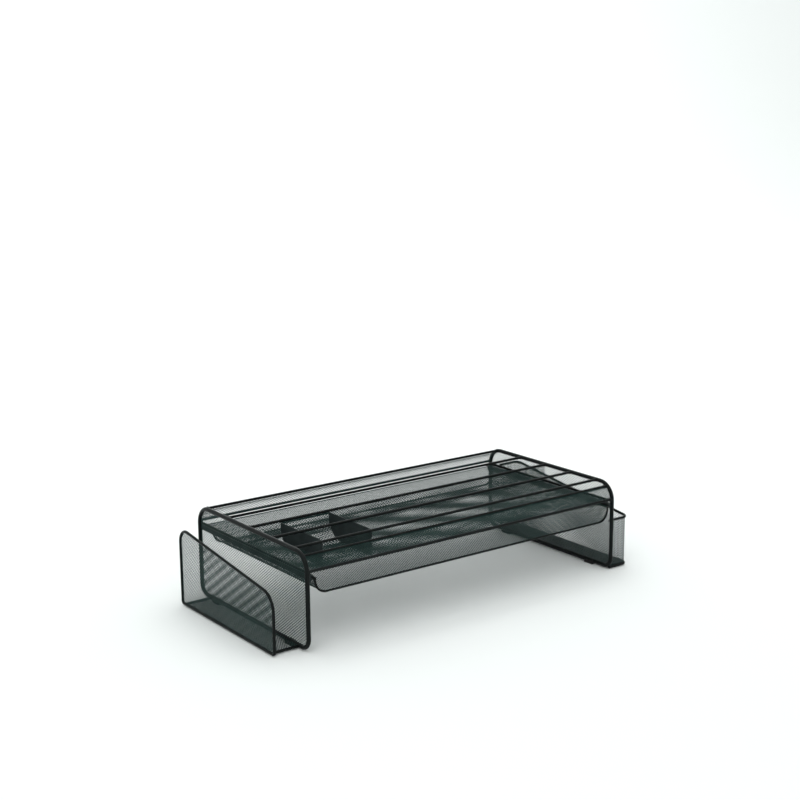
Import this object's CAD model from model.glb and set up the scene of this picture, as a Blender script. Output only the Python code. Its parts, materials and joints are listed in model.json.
import json
import math

import bpy
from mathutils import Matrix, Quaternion, Vector, noise


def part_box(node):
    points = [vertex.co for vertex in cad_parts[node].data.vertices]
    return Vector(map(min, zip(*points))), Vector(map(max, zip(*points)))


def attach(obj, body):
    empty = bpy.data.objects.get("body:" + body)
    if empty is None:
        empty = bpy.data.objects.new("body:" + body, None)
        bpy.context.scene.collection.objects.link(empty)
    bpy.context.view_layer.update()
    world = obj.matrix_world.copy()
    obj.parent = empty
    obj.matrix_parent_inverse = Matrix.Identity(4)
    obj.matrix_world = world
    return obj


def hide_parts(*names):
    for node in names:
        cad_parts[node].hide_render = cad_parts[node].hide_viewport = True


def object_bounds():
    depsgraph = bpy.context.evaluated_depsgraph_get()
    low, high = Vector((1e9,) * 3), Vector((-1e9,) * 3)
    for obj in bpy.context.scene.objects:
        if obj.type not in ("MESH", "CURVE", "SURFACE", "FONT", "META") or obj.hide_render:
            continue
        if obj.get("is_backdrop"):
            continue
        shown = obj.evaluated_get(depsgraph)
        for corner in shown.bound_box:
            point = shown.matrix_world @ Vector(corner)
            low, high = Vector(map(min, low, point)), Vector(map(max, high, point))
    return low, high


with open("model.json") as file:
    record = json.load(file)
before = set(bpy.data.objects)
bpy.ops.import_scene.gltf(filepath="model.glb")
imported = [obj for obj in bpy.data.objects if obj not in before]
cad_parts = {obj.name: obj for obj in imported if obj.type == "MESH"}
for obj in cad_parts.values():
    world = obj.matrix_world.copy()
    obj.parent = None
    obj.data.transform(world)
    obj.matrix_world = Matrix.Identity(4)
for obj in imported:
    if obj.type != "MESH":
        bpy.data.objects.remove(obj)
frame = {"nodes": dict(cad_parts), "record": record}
cad_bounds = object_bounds()

MM = 0.001

# Expanded mesh: straight strands in two slanting directions, bonded where they cross. LAP is how
# far each direction stands off the sheet's middle, as a share of a strand's thickness. A sheet's
# strands slant the long way or the short way, so that layers seen through each other differ.
PITCH = 3.0 * MM
STRAND_WIDTH = 0.62 * MM
STRAND_THICKNESS = 0.36 * MM
LAP = 0.3
LONG_WAY = math.radians(38)
SHORT_WAY = math.radians(52)
HEM_WIDTH = 2.4 * MM
HEM_THICKNESS = 0.8 * MM
SHORTEST_STRAND = 0.8 * MM
ARC_STEP = math.radians(11)

# Tolerances in metres: past a bend, on a bend, and too near a bend to cut a strand
PAST_BEND = 1e-9
ON_BEND = 1e-8
CUT_GAP = 1e-7

# Sizes that a node's box doesn't give
SHEET = 0.6 * MM
HOOP_BENDS = (15 * MM, 15 * MM, 25 * MM, 25 * MM)
APRON_CENTRE_DROP = 25 * MM
SHEET_INSET = 2.3 * MM
FRONT_RAIL_TILT = math.radians(34)
NOTE_SCOOP_R = 30 * MM
NOTE_FRONT_BEND = 4 * MM
DRAWER_BEND = 17 * MM
POCKET_BENDS = (4 * MM, 4 * MM, 18 * MM, 25 * MM)
POCKET_FRONT_TOP = 81 * MM
POCKET_BACK_TOP = 112.2 * MM
BIN_BEND = 8 * MM
BACK_APRON_END = math.radians(9)

# Rails welded to both hoops
CROSS_RAILS = (
    "deck_rail_back",
    "deck_rail_rear",
    "deck_rail_middle",
    "deck_rail_front",
    "deck_rail_lip",
    "front_top_rail",
    "front_ring_rail",
    "back_ring_rail",
)

# Weld collar round a rail: reach from the hoop in mm, and swell as a share of the rail's radius
WELD_PROFILE = (
    (2.6, 0.97),
    (2.3, 1.03),
    (1.5, 1.1),
    (0.8, 1.27),
    (0.2, 1.36),
    (-0.8, 1.38),
    (-1.6, 1.15),
)
WELD_SIDES = 28
WELD_WOBBLE = 0.09
WELD_NOISE_SCALE = 1.7
WELD_SEED_STEP = 3.1
SIDE_SEED_STEP = 40

# Coatings. Noise scales are per metre; rubbed edges show from the first pointiness to the second.
CLOUD_SCALE = 38.0
CLOUD_BAND = (0.35, 0.7)
SCUFF_SCALE = 260.0
SHEEN_SCALE = 90.0
NOISE_MIDDLE = (0.3, 0.7)
ROUGH_SPREAD = (-0.06, 0.09)
GRAIN_DEPTH = 0.12
EDGE_POINTINESS = (0.56, 0.72)
RUBBED_COLOUR = (0.16, 0.165, 0.165, 1)
SPECULAR = 0.10

# Studio, in metres and watts. A light is its name, place, target, side and power.
LIGHTS = (
    ("key", (-1.3, -1.2, 2.2), (0, 0, 0.1), 1.6, 12),
    ("top", (0.4, 0.6, 2.4), (0, 0, 0.1), 2.4, 12),
    ("backdrop", (1.6, 1.4, 3.2), (2.8, 3.8, 1.0), 2.4, 60),
)
SWEEP_HALF_WIDTH = 6.0
SWEEP_FRONT = -5.0
SWEEP_TURN = 2.2
SWEEP_RADIUS = 1.6
SWEEP_TOP = 6.0
FLOOR_COLOUR = (0.87, 0.89, 0.885, 1)
FLOOR_ROUGHNESS = 0.8
SKY_COLOUR = (0.95, 0.98, 0.97, 1)
SKY_STRENGTH = 0.93
CAMERA_PLACE = (-1.1895, -1.5930, 0.6989)
CAMERA_TURN = math.radians(36.36)
CAMERA_PITCH = math.radians(12.19)
CAMERA_ROLL = math.radians(-0.53)
CAMERA_LENS = 65.0
CAMERA_SENSOR = 36.0


# ---------------------------------------------------------------- plane curves


def arc(centre, radius, start, end):
    """Points on an arc from one angle to the other, ends included."""
    steps = max(2, math.ceil(abs(end - start) / ARC_STEP))
    angles = [start + (end - start) * i / steps for i in range(steps + 1)]
    x, y = centre
    return [(x + radius * math.cos(a), y + radius * math.sin(a)) for a in angles]


def rounded(points, bends, closed):
    """The polyline with each corner rounded to its bend radius."""
    result = []
    count = len(points)
    for i, (corner, bend) in enumerate(zip(points, bends)):
        if bend == 0 or (not closed and i in (0, count - 1)):
            result.append(corner)
            continue
        here = Vector(corner)
        back = (Vector(points[i - 1]) - here).normalized()
        ahead = (Vector(points[(i + 1) % count]) - here).normalized()
        half = back.angle(ahead) / 2
        centre = here + (back + ahead).normalized() * bend / math.sin(half)
        first = here + back * bend / math.tan(half) - centre
        last = here + ahead * bend / math.tan(half) - centre
        start = math.atan2(first.y, first.x)
        turn = math.remainder(math.atan2(last.y, last.x) - start, math.tau)
        result += arc(centre, bend, start, start + turn)
    return result


def middle(node):
    """Centre of a CAD node's box."""
    low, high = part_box(node)
    return (low + high) / 2


# ---------------------------------------------------------------- mesh sheets


class Sheet:
    """A bent sheet: a profile in two axes, drawn out along a third.

    order names that third axis, then the profile's two.
    """

    def __init__(self, profile, order, slant=LONG_WAY):
        self.profile = [Vector(p) for p in profile]
        self.order = order
        self.slant = slant
        self.marks = [0.0]
        for a, b in zip(self.profile, self.profile[1:]):
            self.marks.append(self.marks[-1] + (b - a).length)

    @property
    def length(self):
        return self.marks[-1]

    def along(self, axis, value):
        """Distance along the profile's last straight to where its coordinate has this value."""
        a, b = self.profile[-2], self.profile[-1]
        share = (value - a[axis]) / (b[axis] - a[axis])
        return self.marks[-2] + share * (self.marks[-1] - self.marks[-2])

    def place(self, u, s):
        """Point and sheet normal at distance u across and s along the profile."""
        i = 0
        while i < len(self.marks) - 2 and s > self.marks[i + 1] + PAST_BEND:
            i += 1
        a, b = self.profile[i], self.profile[i + 1]
        step = b - a
        point = a + step * ((s - self.marks[i]) / step.length)
        normal = Vector((-step.y, step.x)).normalized()
        if i + 2 < len(self.profile) and abs(s - self.marks[i + 1]) < ON_BEND:
            after = self.profile[i + 2] - b
            normal = (normal + Vector((-after.y, after.x)).normalized()).normalized()
        values = dict(zip(self.order, (u, point.x, point.y)))
        normals = dict(zip(self.order, (0.0, normal.x, normal.y)))
        return Vector([values[k] for k in "xyz"]), Vector([normals[k] for k in "xyz"])

    def cuts(self, low, high):
        """Bends of the profile that lie between two distances along it."""
        low, high = min(low, high), max(low, high)
        return [m for m in self.marks[1:-1] if low + CUT_GAP < m < high - CUT_GAP]


def strand_spans(outlines, slant):
    """Straight slanting spans, at the pitch, that lie inside the outlines (even-odd)."""
    along = Vector((math.cos(slant), math.sin(slant)))
    across = Vector((-math.sin(slant), math.cos(slant)))
    edges = []
    for outline in outlines:
        points = [Vector(p) for p in outline]
        edges += [(points[i - 1], points[i]) for i in range(len(points))]
    offsets = [a.dot(across) for a, _ in edges]
    first, last = math.ceil(min(offsets) / PITCH), math.floor(max(offsets) / PITCH)
    for k in range(first, last + 1):
        offset = (k + 0.5) * PITCH
        hits = []
        for a, b in edges:
            to_a, to_b = a.dot(across) - offset, b.dot(across) - offset
            if (to_a < 0) != (to_b < 0):
                hits.append((a + (b - a) * (to_a / (to_a - to_b))).dot(along))
        hits.sort()
        for start, end in zip(hits[::2], hits[1::2]):
            if end - start > SHORTEST_STRAND:
                yield along * start + across * offset, along * end + across * offset


def add_strip(sheet, path, width, thickness, lift, verts, faces):
    """A closed flat strip on the sheet, through the path's (u, s) points."""
    places = [sheet.place(u, s) for u, s in path]
    first = len(verts)
    for i, (point, normal) in enumerate(places):
        before, after = places[max(i - 1, 0)][0], places[min(i + 1, len(places) - 1)][0]
        side = normal.cross(after - before).normalized() * width / 2
        top, bottom = normal * (lift + thickness / 2), normal * (lift - thickness / 2)
        left, right = point - side, point + side
        verts += [left + bottom, right + bottom, right + top, left + top]
    for i in range(len(places) - 1):
        ring = first + 4 * i
        for j in range(4):
            k = (j + 1) % 4
            faces.append((ring + j, ring + k, ring + 4 + k, ring + 4 + j))
    last = first + 4 * (len(places) - 1)
    faces.append((first + 3, first + 2, first + 1, first))
    faces.append((last, last + 1, last + 2, last + 3))


def weave(sheet, outlines, hems, verts, faces):
    """Both families of strands inside the outlines, and the folded hems along the edges."""
    for lean in (1, -1):
        for start, end in strand_spans(outlines, lean * sheet.slant):
            cuts = sheet.cuts(start.y, end.y)
            if end.y < start.y:
                cuts.reverse()
            shares = [(cut - start.y) / (end.y - start.y) for cut in cuts]
            path = [start] + [start.lerp(end, share) for share in shares] + [end]
            lift = lean * LAP * STRAND_THICKNESS
            add_strip(sheet, path, STRAND_WIDTH, STRAND_THICKNESS, lift, verts, faces)
    for hem in hems:
        path = []
        for a, b in zip(hem, hem[1:]):
            cuts = sheet.cuts(a[1], b[1])
            if b[1] < a[1]:
                cuts.reverse()
            path.append(a)
            path += [(a[0] + (b[0] - a[0]) * (c - a[1]) / (b[1] - a[1]), c) for c in cuts]
        path.append(hem[-1])
        add_strip(sheet, path, HEM_WIDTH, HEM_THICKNESS, 0.0, verts, faces)


def rectangle(u0, u1, s0, s1):
    """Outline across from u0 to u1 and along the profile from s0 to s1."""
    return [(u0, s0), (u1, s0), (u1, s1), (u0, s1)]


def piece(name, verts, faces, body, material):
    """A new visible object that rides on a body."""
    mesh = bpy.data.meshes.new(name)
    mesh.from_pydata(verts, [], faces)
    mesh.validate()
    mesh.update()
    mesh.materials.append(material)
    obj = bpy.data.objects.new(name, mesh)
    bpy.context.scene.collection.objects.link(obj)
    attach(obj, body)
    return obj


def mesh_piece(name, node, parts, body):
    """One visible mesh piece, made of (sheet, outlines, hems), in place of a CAD sheet."""
    verts, faces = [], []
    for sheet, outlines, hems in parts:
        weave(sheet, outlines, hems, verts, faces)
    obj = piece(name, verts, faces, body, mesh_coat)
    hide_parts(node)
    return obj


# ---------------------------------------------------------------- materials


def link(tree, source, output, target, socket):
    """Joins an output of one shader node to an input of another."""
    tree.links.new(source.outputs[output], target.inputs[socket])


def noise_node(tree, coords, scale, detail):
    """A noise texture in the object's own coordinates."""
    node = tree.nodes.new("ShaderNodeTexNoise")
    node.inputs["Scale"].default_value = scale
    node.inputs["Detail"].default_value = detail
    link(tree, coords, "Object", node, "Vector")
    return node


def remap(tree, source, output, low, high):
    """The middle of a noise spread out between two values."""
    node = tree.nodes.new("ShaderNodeMapRange")
    node.inputs["From Min"].default_value = NOISE_MIDDLE[0]
    node.inputs["From Max"].default_value = NOISE_MIDDLE[1]
    node.inputs["To Min"].default_value = low
    node.inputs["To Max"].default_value = high
    link(tree, source, output, node, "Value")
    return node


def coating(name, dark, light, rough, grain, bump, worn):
    """Paint or rubber: a mottled colour, a fine grain in the surface, and edges rubbed paler."""
    material = bpy.data.materials.new(name)
    material.use_nodes = True
    tree = material.node_tree
    shader = tree.nodes["Principled BSDF"]
    coords = tree.nodes.new("ShaderNodeTexCoord")
    cloud = noise_node(tree, coords, CLOUD_SCALE, detail=4.0)
    ramp = tree.nodes.new("ShaderNodeValToRGB")
    for stop, position, colour in zip(ramp.color_ramp.elements, CLOUD_BAND, (dark, light)):
        stop.position = position
        stop.color = (*colour, 1)
    link(tree, cloud, "Fac", ramp, "Fac")

    geometry = tree.nodes.new("ShaderNodeNewGeometry")
    edge = tree.nodes.new("ShaderNodeMapRange")
    edge.inputs["From Min"].default_value = EDGE_POINTINESS[0]
    edge.inputs["From Max"].default_value = EDGE_POINTINESS[1]
    edge.inputs["To Max"].default_value = worn
    link(tree, geometry, "Pointiness", edge, "Value")
    scuffs = remap(tree, noise_node(tree, coords, SCUFF_SCALE, detail=3.0), "Fac", 0.0, 1.0)
    patchy = tree.nodes.new("ShaderNodeMath")
    patchy.operation = "MULTIPLY"
    link(tree, edge, "Result", patchy, 0)
    link(tree, scuffs, "Result", patchy, 1)
    rubbed = tree.nodes.new("ShaderNodeMix")
    rubbed.data_type = "RGBA"
    rubbed.inputs["B"].default_value = RUBBED_COLOUR
    link(tree, patchy, "Value", rubbed, "Factor")
    tree.links.new(ramp.outputs["Color"], rubbed.inputs["A"])
    tree.links.new(rubbed.outputs["Result"], shader.inputs["Base Color"])

    sheen = noise_node(tree, coords, SHEEN_SCALE, detail=5.0)
    low, high = (rough + spread for spread in ROUGH_SPREAD)
    roughness = remap(tree, sheen, "Fac", low, high)
    link(tree, roughness, "Result", shader, "Roughness")
    peel = noise_node(tree, coords, 1.0 / grain, detail=3.0)
    relief = tree.nodes.new("ShaderNodeBump")
    relief.inputs["Strength"].default_value = bump
    relief.inputs["Distance"].default_value = grain * GRAIN_DEPTH
    link(tree, peel, "Fac", relief, "Height")
    link(tree, relief, "Normal", shader, "Normal")
    shader.inputs["Specular IOR Level"].default_value = SPECULAR
    return material


# ---------------------------------------------------------------- the mesh pieces


def end_mesh(side):
    """The upright panel inside an end hoop."""
    low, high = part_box(f"end_hoop_{side}")
    inset = (high.x - low.x) / 2
    x = middle(f"end_mesh_{side}").x
    bottom, top = low.z + inset, high.z - inset
    corners = rectangle(low.y + inset, high.y - inset, 0, top - bottom)
    sheet = Sheet([(x, bottom), (x, top)], "yxz")
    outline = rounded(corners, HOOP_BENDS, True)
    mesh_piece(f"end_weave_{side}", f"end_mesh_{side}", [(sheet, [outline], [])], "frame")


def apron_centre(front):
    """Centre (y, z) of the curve that the front or the back apron follows."""
    low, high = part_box("end_hoop_left")
    wire = (high.x - low.x) / 2
    y = low.y + wire + APRON_CENTRE_DROP if front else high.y - wire - APRON_CENTRE_DROP
    return y, high.z - wire - APRON_CENTRE_DROP


def note_scoop():
    """Centre (y, z) of the note box's scooped back."""
    low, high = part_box("note_box_mesh")
    half_sheet = SHEET / 2
    return high.y - half_sheet - NOTE_SCOOP_R, low.z + half_sheet + NOTE_SCOOP_R


def organiser_tray():
    """Apron over the front bend, then the floor, with an opening for the note box."""
    centre = apron_centre(True)
    radius = APRON_CENTRE_DROP - SHEET_INSET
    floor_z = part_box("tray_back_mesh")[0].z
    turn = centre[1] - floor_z
    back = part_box("organiser_tray_mesh")[1].y
    apron = arc(centre, radius, math.pi / 2 + FRONT_RAIL_TILT, math.pi)
    bend = arc((centre[0] - radius + turn, centre[1]), turn, math.pi, 1.5 * math.pi)
    sheet = Sheet(apron + bend[1:] + [(back, floor_z)], "xyz")
    edge = middle("side_rail_right").x
    left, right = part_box("note_box_left_side")[0].x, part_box("note_box_right_side")[1].x
    scoop_y, scoop_z = note_scoop()
    hole_back = scoop_y + math.sqrt(NOTE_SCOOP_R**2 - (scoop_z - floor_z) ** 2)
    front = sheet.along(0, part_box("note_box_left_side")[0].y)
    hole = rectangle(left, right, front, sheet.along(0, hole_back))
    outline = rectangle(-edge, edge, 0, sheet.length)
    rim = HEM_WIDTH / 2
    hems = [[(-edge, s), (edge, s)] for s in (sheet.length - rim, rim)]
    parts = [(sheet, [outline, hole], hems)]
    mesh_piece("organiser_tray_weave", "organiser_tray_mesh", parts, "frame")


def tray_back():
    """Back wall of the tray, in two bays beside the note box."""
    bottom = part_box("tray_back_mesh")[0].z
    rail = middle("deck_rail_middle")
    edge = middle("side_rail_right").x
    sheet = Sheet([(rail.y, bottom), (rail.y, rail.z)], "xyz")
    left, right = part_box("note_box_left_side")[0].x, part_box("note_box_right_side")[1].x
    bays = [rectangle(-edge, left, 0, sheet.length), rectangle(right, edge, 0, sheet.length)]
    mesh_piece("tray_back_weave", "tray_back_mesh", [(sheet, [bay], []) for bay in bays], "frame")


def back_apron():
    """Sheet from the back deck rail down over the back bend."""
    centre = apron_centre(False)
    radius = APRON_CENTRE_DROP - SHEET_INSET
    rail = middle("deck_rail_back")
    start = math.acos((rail.y - centre[0]) / radius)
    profile = [(rail.y, rail.z)] + arc(centre, radius, start, BACK_APRON_END)
    sheet = Sheet(profile, "xyz")
    edge = middle("side_rail_right").x
    outline = rectangle(-edge, edge, 0, sheet.length)
    low_edge = sheet.length - HEM_WIDTH / 2
    hem = [(-edge, low_edge), (edge, low_edge)]
    mesh_piece("back_apron_weave", "back_apron_mesh", [(sheet, [outline], [hem])], "frame")


def note_box():
    """Front, floor and scooped back of the note box, bent from one sheet."""
    low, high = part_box("note_box_mesh")
    front, floor_z = low.y + SHEET / 2, low.z + SHEET / 2
    bend_centre = front + NOTE_FRONT_BEND, floor_z + NOTE_FRONT_BEND
    bend = arc(bend_centre, NOTE_FRONT_BEND, math.pi, 1.5 * math.pi)
    scoop = arc(note_scoop(), NOTE_SCOOP_R, -math.pi / 2, 0)
    profile = [(front, high.z)] + bend + scoop + [(high.y - SHEET / 2, high.z)]
    sheet = Sheet(profile, "xyz")
    left, right = middle("note_box_left_side").x, middle("note_box_right_side").x
    rim = HEM_WIDTH / 2
    hems = [[(left, s), (right, s)] for s in (rim, sheet.length - rim)]
    outline = rectangle(left, right, 0, sheet.length)
    mesh_piece("note_box_weave", "note_box_mesh", [(sheet, [outline], hems)], "frame")


def pull_out_tray():
    """The sliding tray's U section, hemmed at both rims."""
    bow_low, bow_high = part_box("drawer_front_bow")
    bow_radius = (bow_high.y - bow_low.y) / 2
    wall, floor_z = bow_high.x - bow_radius, bow_low.z + bow_radius
    rim_z = middle("drawer_slide_right").z
    corners = [(-wall, rim_z), (-wall, floor_z), (wall, floor_z), (wall, rim_z)]
    profile = rounded(corners, (0, DRAWER_BEND, DRAWER_BEND, 0), False)
    sheet = Sheet(profile, "yxz", SHORT_WAY)
    front, back = middle("drawer_front_bow").y, middle("drawer_back_bow").y
    outline = rectangle(front, back, 0, sheet.length)
    inset = HEM_WIDTH / 2
    hems = [[(front, s), (back, s)] for s in (inset, sheet.length - inset)]
    mesh_piece("pull_out_tray_weave", "drawer_mesh", [(sheet, [outline], hems)], "pull_out_tray")


def file_pocket():
    """Outer wall of the file pocket, with its sloping top, and its floor."""
    low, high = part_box("pocket_loop")
    wire = (high.x - low.x) / 2
    x, bottom = middle("pocket_loop").x, low.z + wire
    front, back = low.y + wire, high.y - wire
    rise_back, rise_front = POCKET_BACK_TOP - bottom, POCKET_FRONT_TOP - bottom
    corners = [(front, 0), (back, 0), (back, rise_back), (front, rise_front)]
    sheet = Sheet([(x, bottom), (x, POCKET_BACK_TOP)], "yxz", SHORT_WAY)
    outline = rounded(corners, POCKET_BENDS, True)
    mesh_piece("pocket_weave", "pocket_mesh", [(sheet, [outline], [])], "frame")

    floor = middle("pocket_floor_mesh")
    sheet = Sheet([(x, floor.z), (middle("end_hoop_left").x, floor.z)], "yxz")
    outline = rectangle(middle("pocket_tie_front").y, middle("pocket_tie_back").y, 0, sheet.length)
    mesh_piece("pocket_floor_weave", "pocket_floor_mesh", [(sheet, [outline], [])], "frame")


def supplies_bin():
    """Walls folded from one sheet, the top edge following the sloping rim."""
    base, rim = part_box("bin_base_wire"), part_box("bin_rim")
    wire = (base[1].z - base[0].z) / 2
    inner, outer = middle("end_mesh_right").x, base[1].x - wire
    front, back = base[0].y + wire, base[1].y - wire
    bottom = base[0].z + wire
    front_top, back_top = rim[0].z + wire, rim[1].z - wire
    corners = [(inner, front), (outer, front), (outer, back), (inner, back)]
    profile = rounded(corners, (0, BIN_BEND, BIN_BEND, 0), False)
    sheet = Sheet(profile, "zxy", SHORT_WAY)
    slope = (back_top - front_top) / (back - front)
    top = [(front_top + slope * (p.y - front), s) for p, s in zip(sheet.profile, sheet.marks)]
    outline = [(bottom, sheet.length), (bottom, 0)] + top
    mesh_piece("bin_weave", "bin_wall_mesh", [(sheet, [outline], [])], "frame")


# ---------------------------------------------------------------- welds


def add_weld(centre, inward, radius, seed, verts, faces):
    """A painted weld where a rail meets a hoop: a flared collar, a little uneven.

    inward is +X or -X. The rings run the other way round on each side, so all faces look outward.
    """
    first = len(verts)
    for reach, swell in WELD_PROFILE:
        for i in range(WELD_SIDES):
            turn = math.tau * i / WELD_SIDES
            way = Vector((0, math.cos(turn), -inward.x * math.sin(turn)))
            spot = way * WELD_NOISE_SCALE + Vector((seed * WELD_SEED_STEP, reach, 0))
            wobble = 1 + WELD_WOBBLE * noise.noise(spot)
            size = radius * (1 + (swell - 1) * wobble)
            verts.append(centre + inward * reach * MM + way * size)
    last = first + (len(WELD_PROFILE) - 1) * WELD_SIDES
    for ring in range(first, last, WELD_SIDES):
        for i in range(WELD_SIDES):
            j = (i + 1) % WELD_SIDES
            above = ring + WELD_SIDES
            faces.append((ring + i, ring + j, above + j, above + i))
    faces.append(tuple(first + i for i in reversed(range(WELD_SIDES))))
    faces.append(tuple(last + i for i in range(WELD_SIDES)))


def welds():
    """Every weld collar where a cross rail meets a hoop, in one piece."""
    verts, faces = [], []
    for seed, rail in enumerate(CROSS_RAILS):
        low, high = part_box(rail)
        centre = (low + high) / 2
        radius = (high.z - low.z) / 2
        for side, hoop in ((-1, "end_hoop_left"), (1, "end_hoop_right")):
            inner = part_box(hoop)[1].x if side < 0 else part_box(hoop)[0].x
            spot, inward = Vector((inner, centre.y, centre.z)), Vector((-side, 0, 0))
            add_weld(spot, inward, radius, seed + side * SIDE_SEED_STEP, verts, faces)
    obj = piece("rail_welds", verts, faces, "frame", wire_coat)
    obj.data.shade_smooth()


# ---------------------------------------------------------------- stage


def sweep():
    """Pale floor that curves up into a backdrop."""
    curve = arc((SWEEP_TURN, SWEEP_RADIUS), SWEEP_RADIUS, -math.pi / 2, 0)
    profile = [(SWEEP_FRONT, 0.0)] + curve + [(SWEEP_TURN + SWEEP_RADIUS, SWEEP_TOP)]
    edges = (-SWEEP_HALF_WIDTH, SWEEP_HALF_WIDTH)
    verts = [Vector((x, y, z)) for y, z in profile for x in edges]
    faces = [(2 * i, 2 * i + 1, 2 * i + 3, 2 * i + 2) for i in range(len(profile) - 1)]
    mesh = bpy.data.meshes.new("sweep")
    mesh.from_pydata(verts, [], faces)
    mesh.shade_smooth()
    floor = bpy.data.materials.new("pale_floor")
    floor.use_nodes = True
    shader = floor.node_tree.nodes["Principled BSDF"]
    shader.inputs["Base Color"].default_value = FLOOR_COLOUR
    shader.inputs["Roughness"].default_value = FLOOR_ROUGHNESS
    mesh.materials.append(floor)
    obj = bpy.data.objects.new("sweep", mesh)
    bpy.context.scene.collection.objects.link(obj)
    obj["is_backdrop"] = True


def area_light(name, place, target, size, power):
    """A square light that faces its target."""
    data = bpy.data.lights.new(name, "AREA")
    data.shape = "SQUARE"
    data.size = size
    data.energy = power
    obj = bpy.data.objects.new(name, data)
    obj.location = place
    obj.rotation_mode = "QUATERNION"
    obj.rotation_quaternion = (Vector(target) - Vector(place)).to_track_quat("-Z", "Y")
    bpy.context.scene.collection.objects.link(obj)


def studio():
    """Even pale surroundings and the lights."""
    world = bpy.data.worlds.new("studio")
    world.use_nodes = True
    background = world.node_tree.nodes["Background"]
    background.inputs["Color"].default_value = SKY_COLOUR
    background.inputs["Strength"].default_value = SKY_STRENGTH
    bpy.context.scene.world = world
    bpy.context.scene.view_settings.view_transform = "Standard"
    for light in LIGHTS:
        area_light(*light)


def camera():
    """Seen from the front left, a little above, through a long lens."""
    data = bpy.data.cameras.new("camera")
    data.sensor_width = CAMERA_SENSOR
    data.lens = CAMERA_LENS
    obj = bpy.data.objects.new("camera", data)
    obj.location = CAMERA_PLACE
    level = math.cos(CAMERA_PITCH)
    back = Vector((
        -math.sin(CAMERA_TURN) * level,
        -math.cos(CAMERA_TURN) * level,
        math.sin(CAMERA_PITCH),
    ))
    obj.rotation_mode = "QUATERNION"
    obj.rotation_quaternion = Quaternion(back, CAMERA_ROLL) @ (-back).to_track_quat("-Z", "Y")
    bpy.context.scene.collection.objects.link(obj)
    bpy.context.scene.camera = obj


# ---------------------------------------------------------------- build

wire_coat = coating(
    "wire_coat",
    dark=(0.0022, 0.0036, 0.0036),
    light=(0.0046, 0.0066, 0.0065),
    rough=0.34,
    grain=0.55 * MM,
    bump=0.35,
    worn=0.02,
)
mesh_coat = coating(
    "mesh_coat",
    dark=(0.014, 0.031, 0.029),
    light=(0.024, 0.048, 0.044),
    rough=0.42,
    grain=0.40 * MM,
    bump=0.30,
    worn=0.0,
)
plate_coat = coating(
    "plate_coat",
    dark=(0.018, 0.024, 0.0245),
    light=(0.028, 0.037, 0.0375),
    rough=0.48,
    grain=0.70 * MM,
    bump=0.45,
    worn=0.02,
)
rubber_coat = coating(
    "rubber_coat",
    dark=(0.010, 0.010, 0.010),
    light=(0.020, 0.020, 0.020),
    rough=0.75,
    grain=0.30 * MM,
    bump=0.60,
    worn=0.0,
)
COATS = {
    "steel_wire": wire_coat,
    "steel_mesh": mesh_coat,
    "steel_plate": plate_coat,
    "rubber": rubber_coat,
}

for part in frame["record"]["subparts"]:
    node = frame["nodes"][part["node"]]
    node.data.materials.clear()
    node.data.materials.append(COATS[part["material_slot"]])

end_mesh("left")
end_mesh("right")
organiser_tray()
tray_back()
back_apron()
note_box()
pull_out_tray()
file_pocket()
supplies_bin()
welds()
sweep()
studio()
camera()

sizes = [[list(corner) for corner in box] for box in (cad_bounds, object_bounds())]
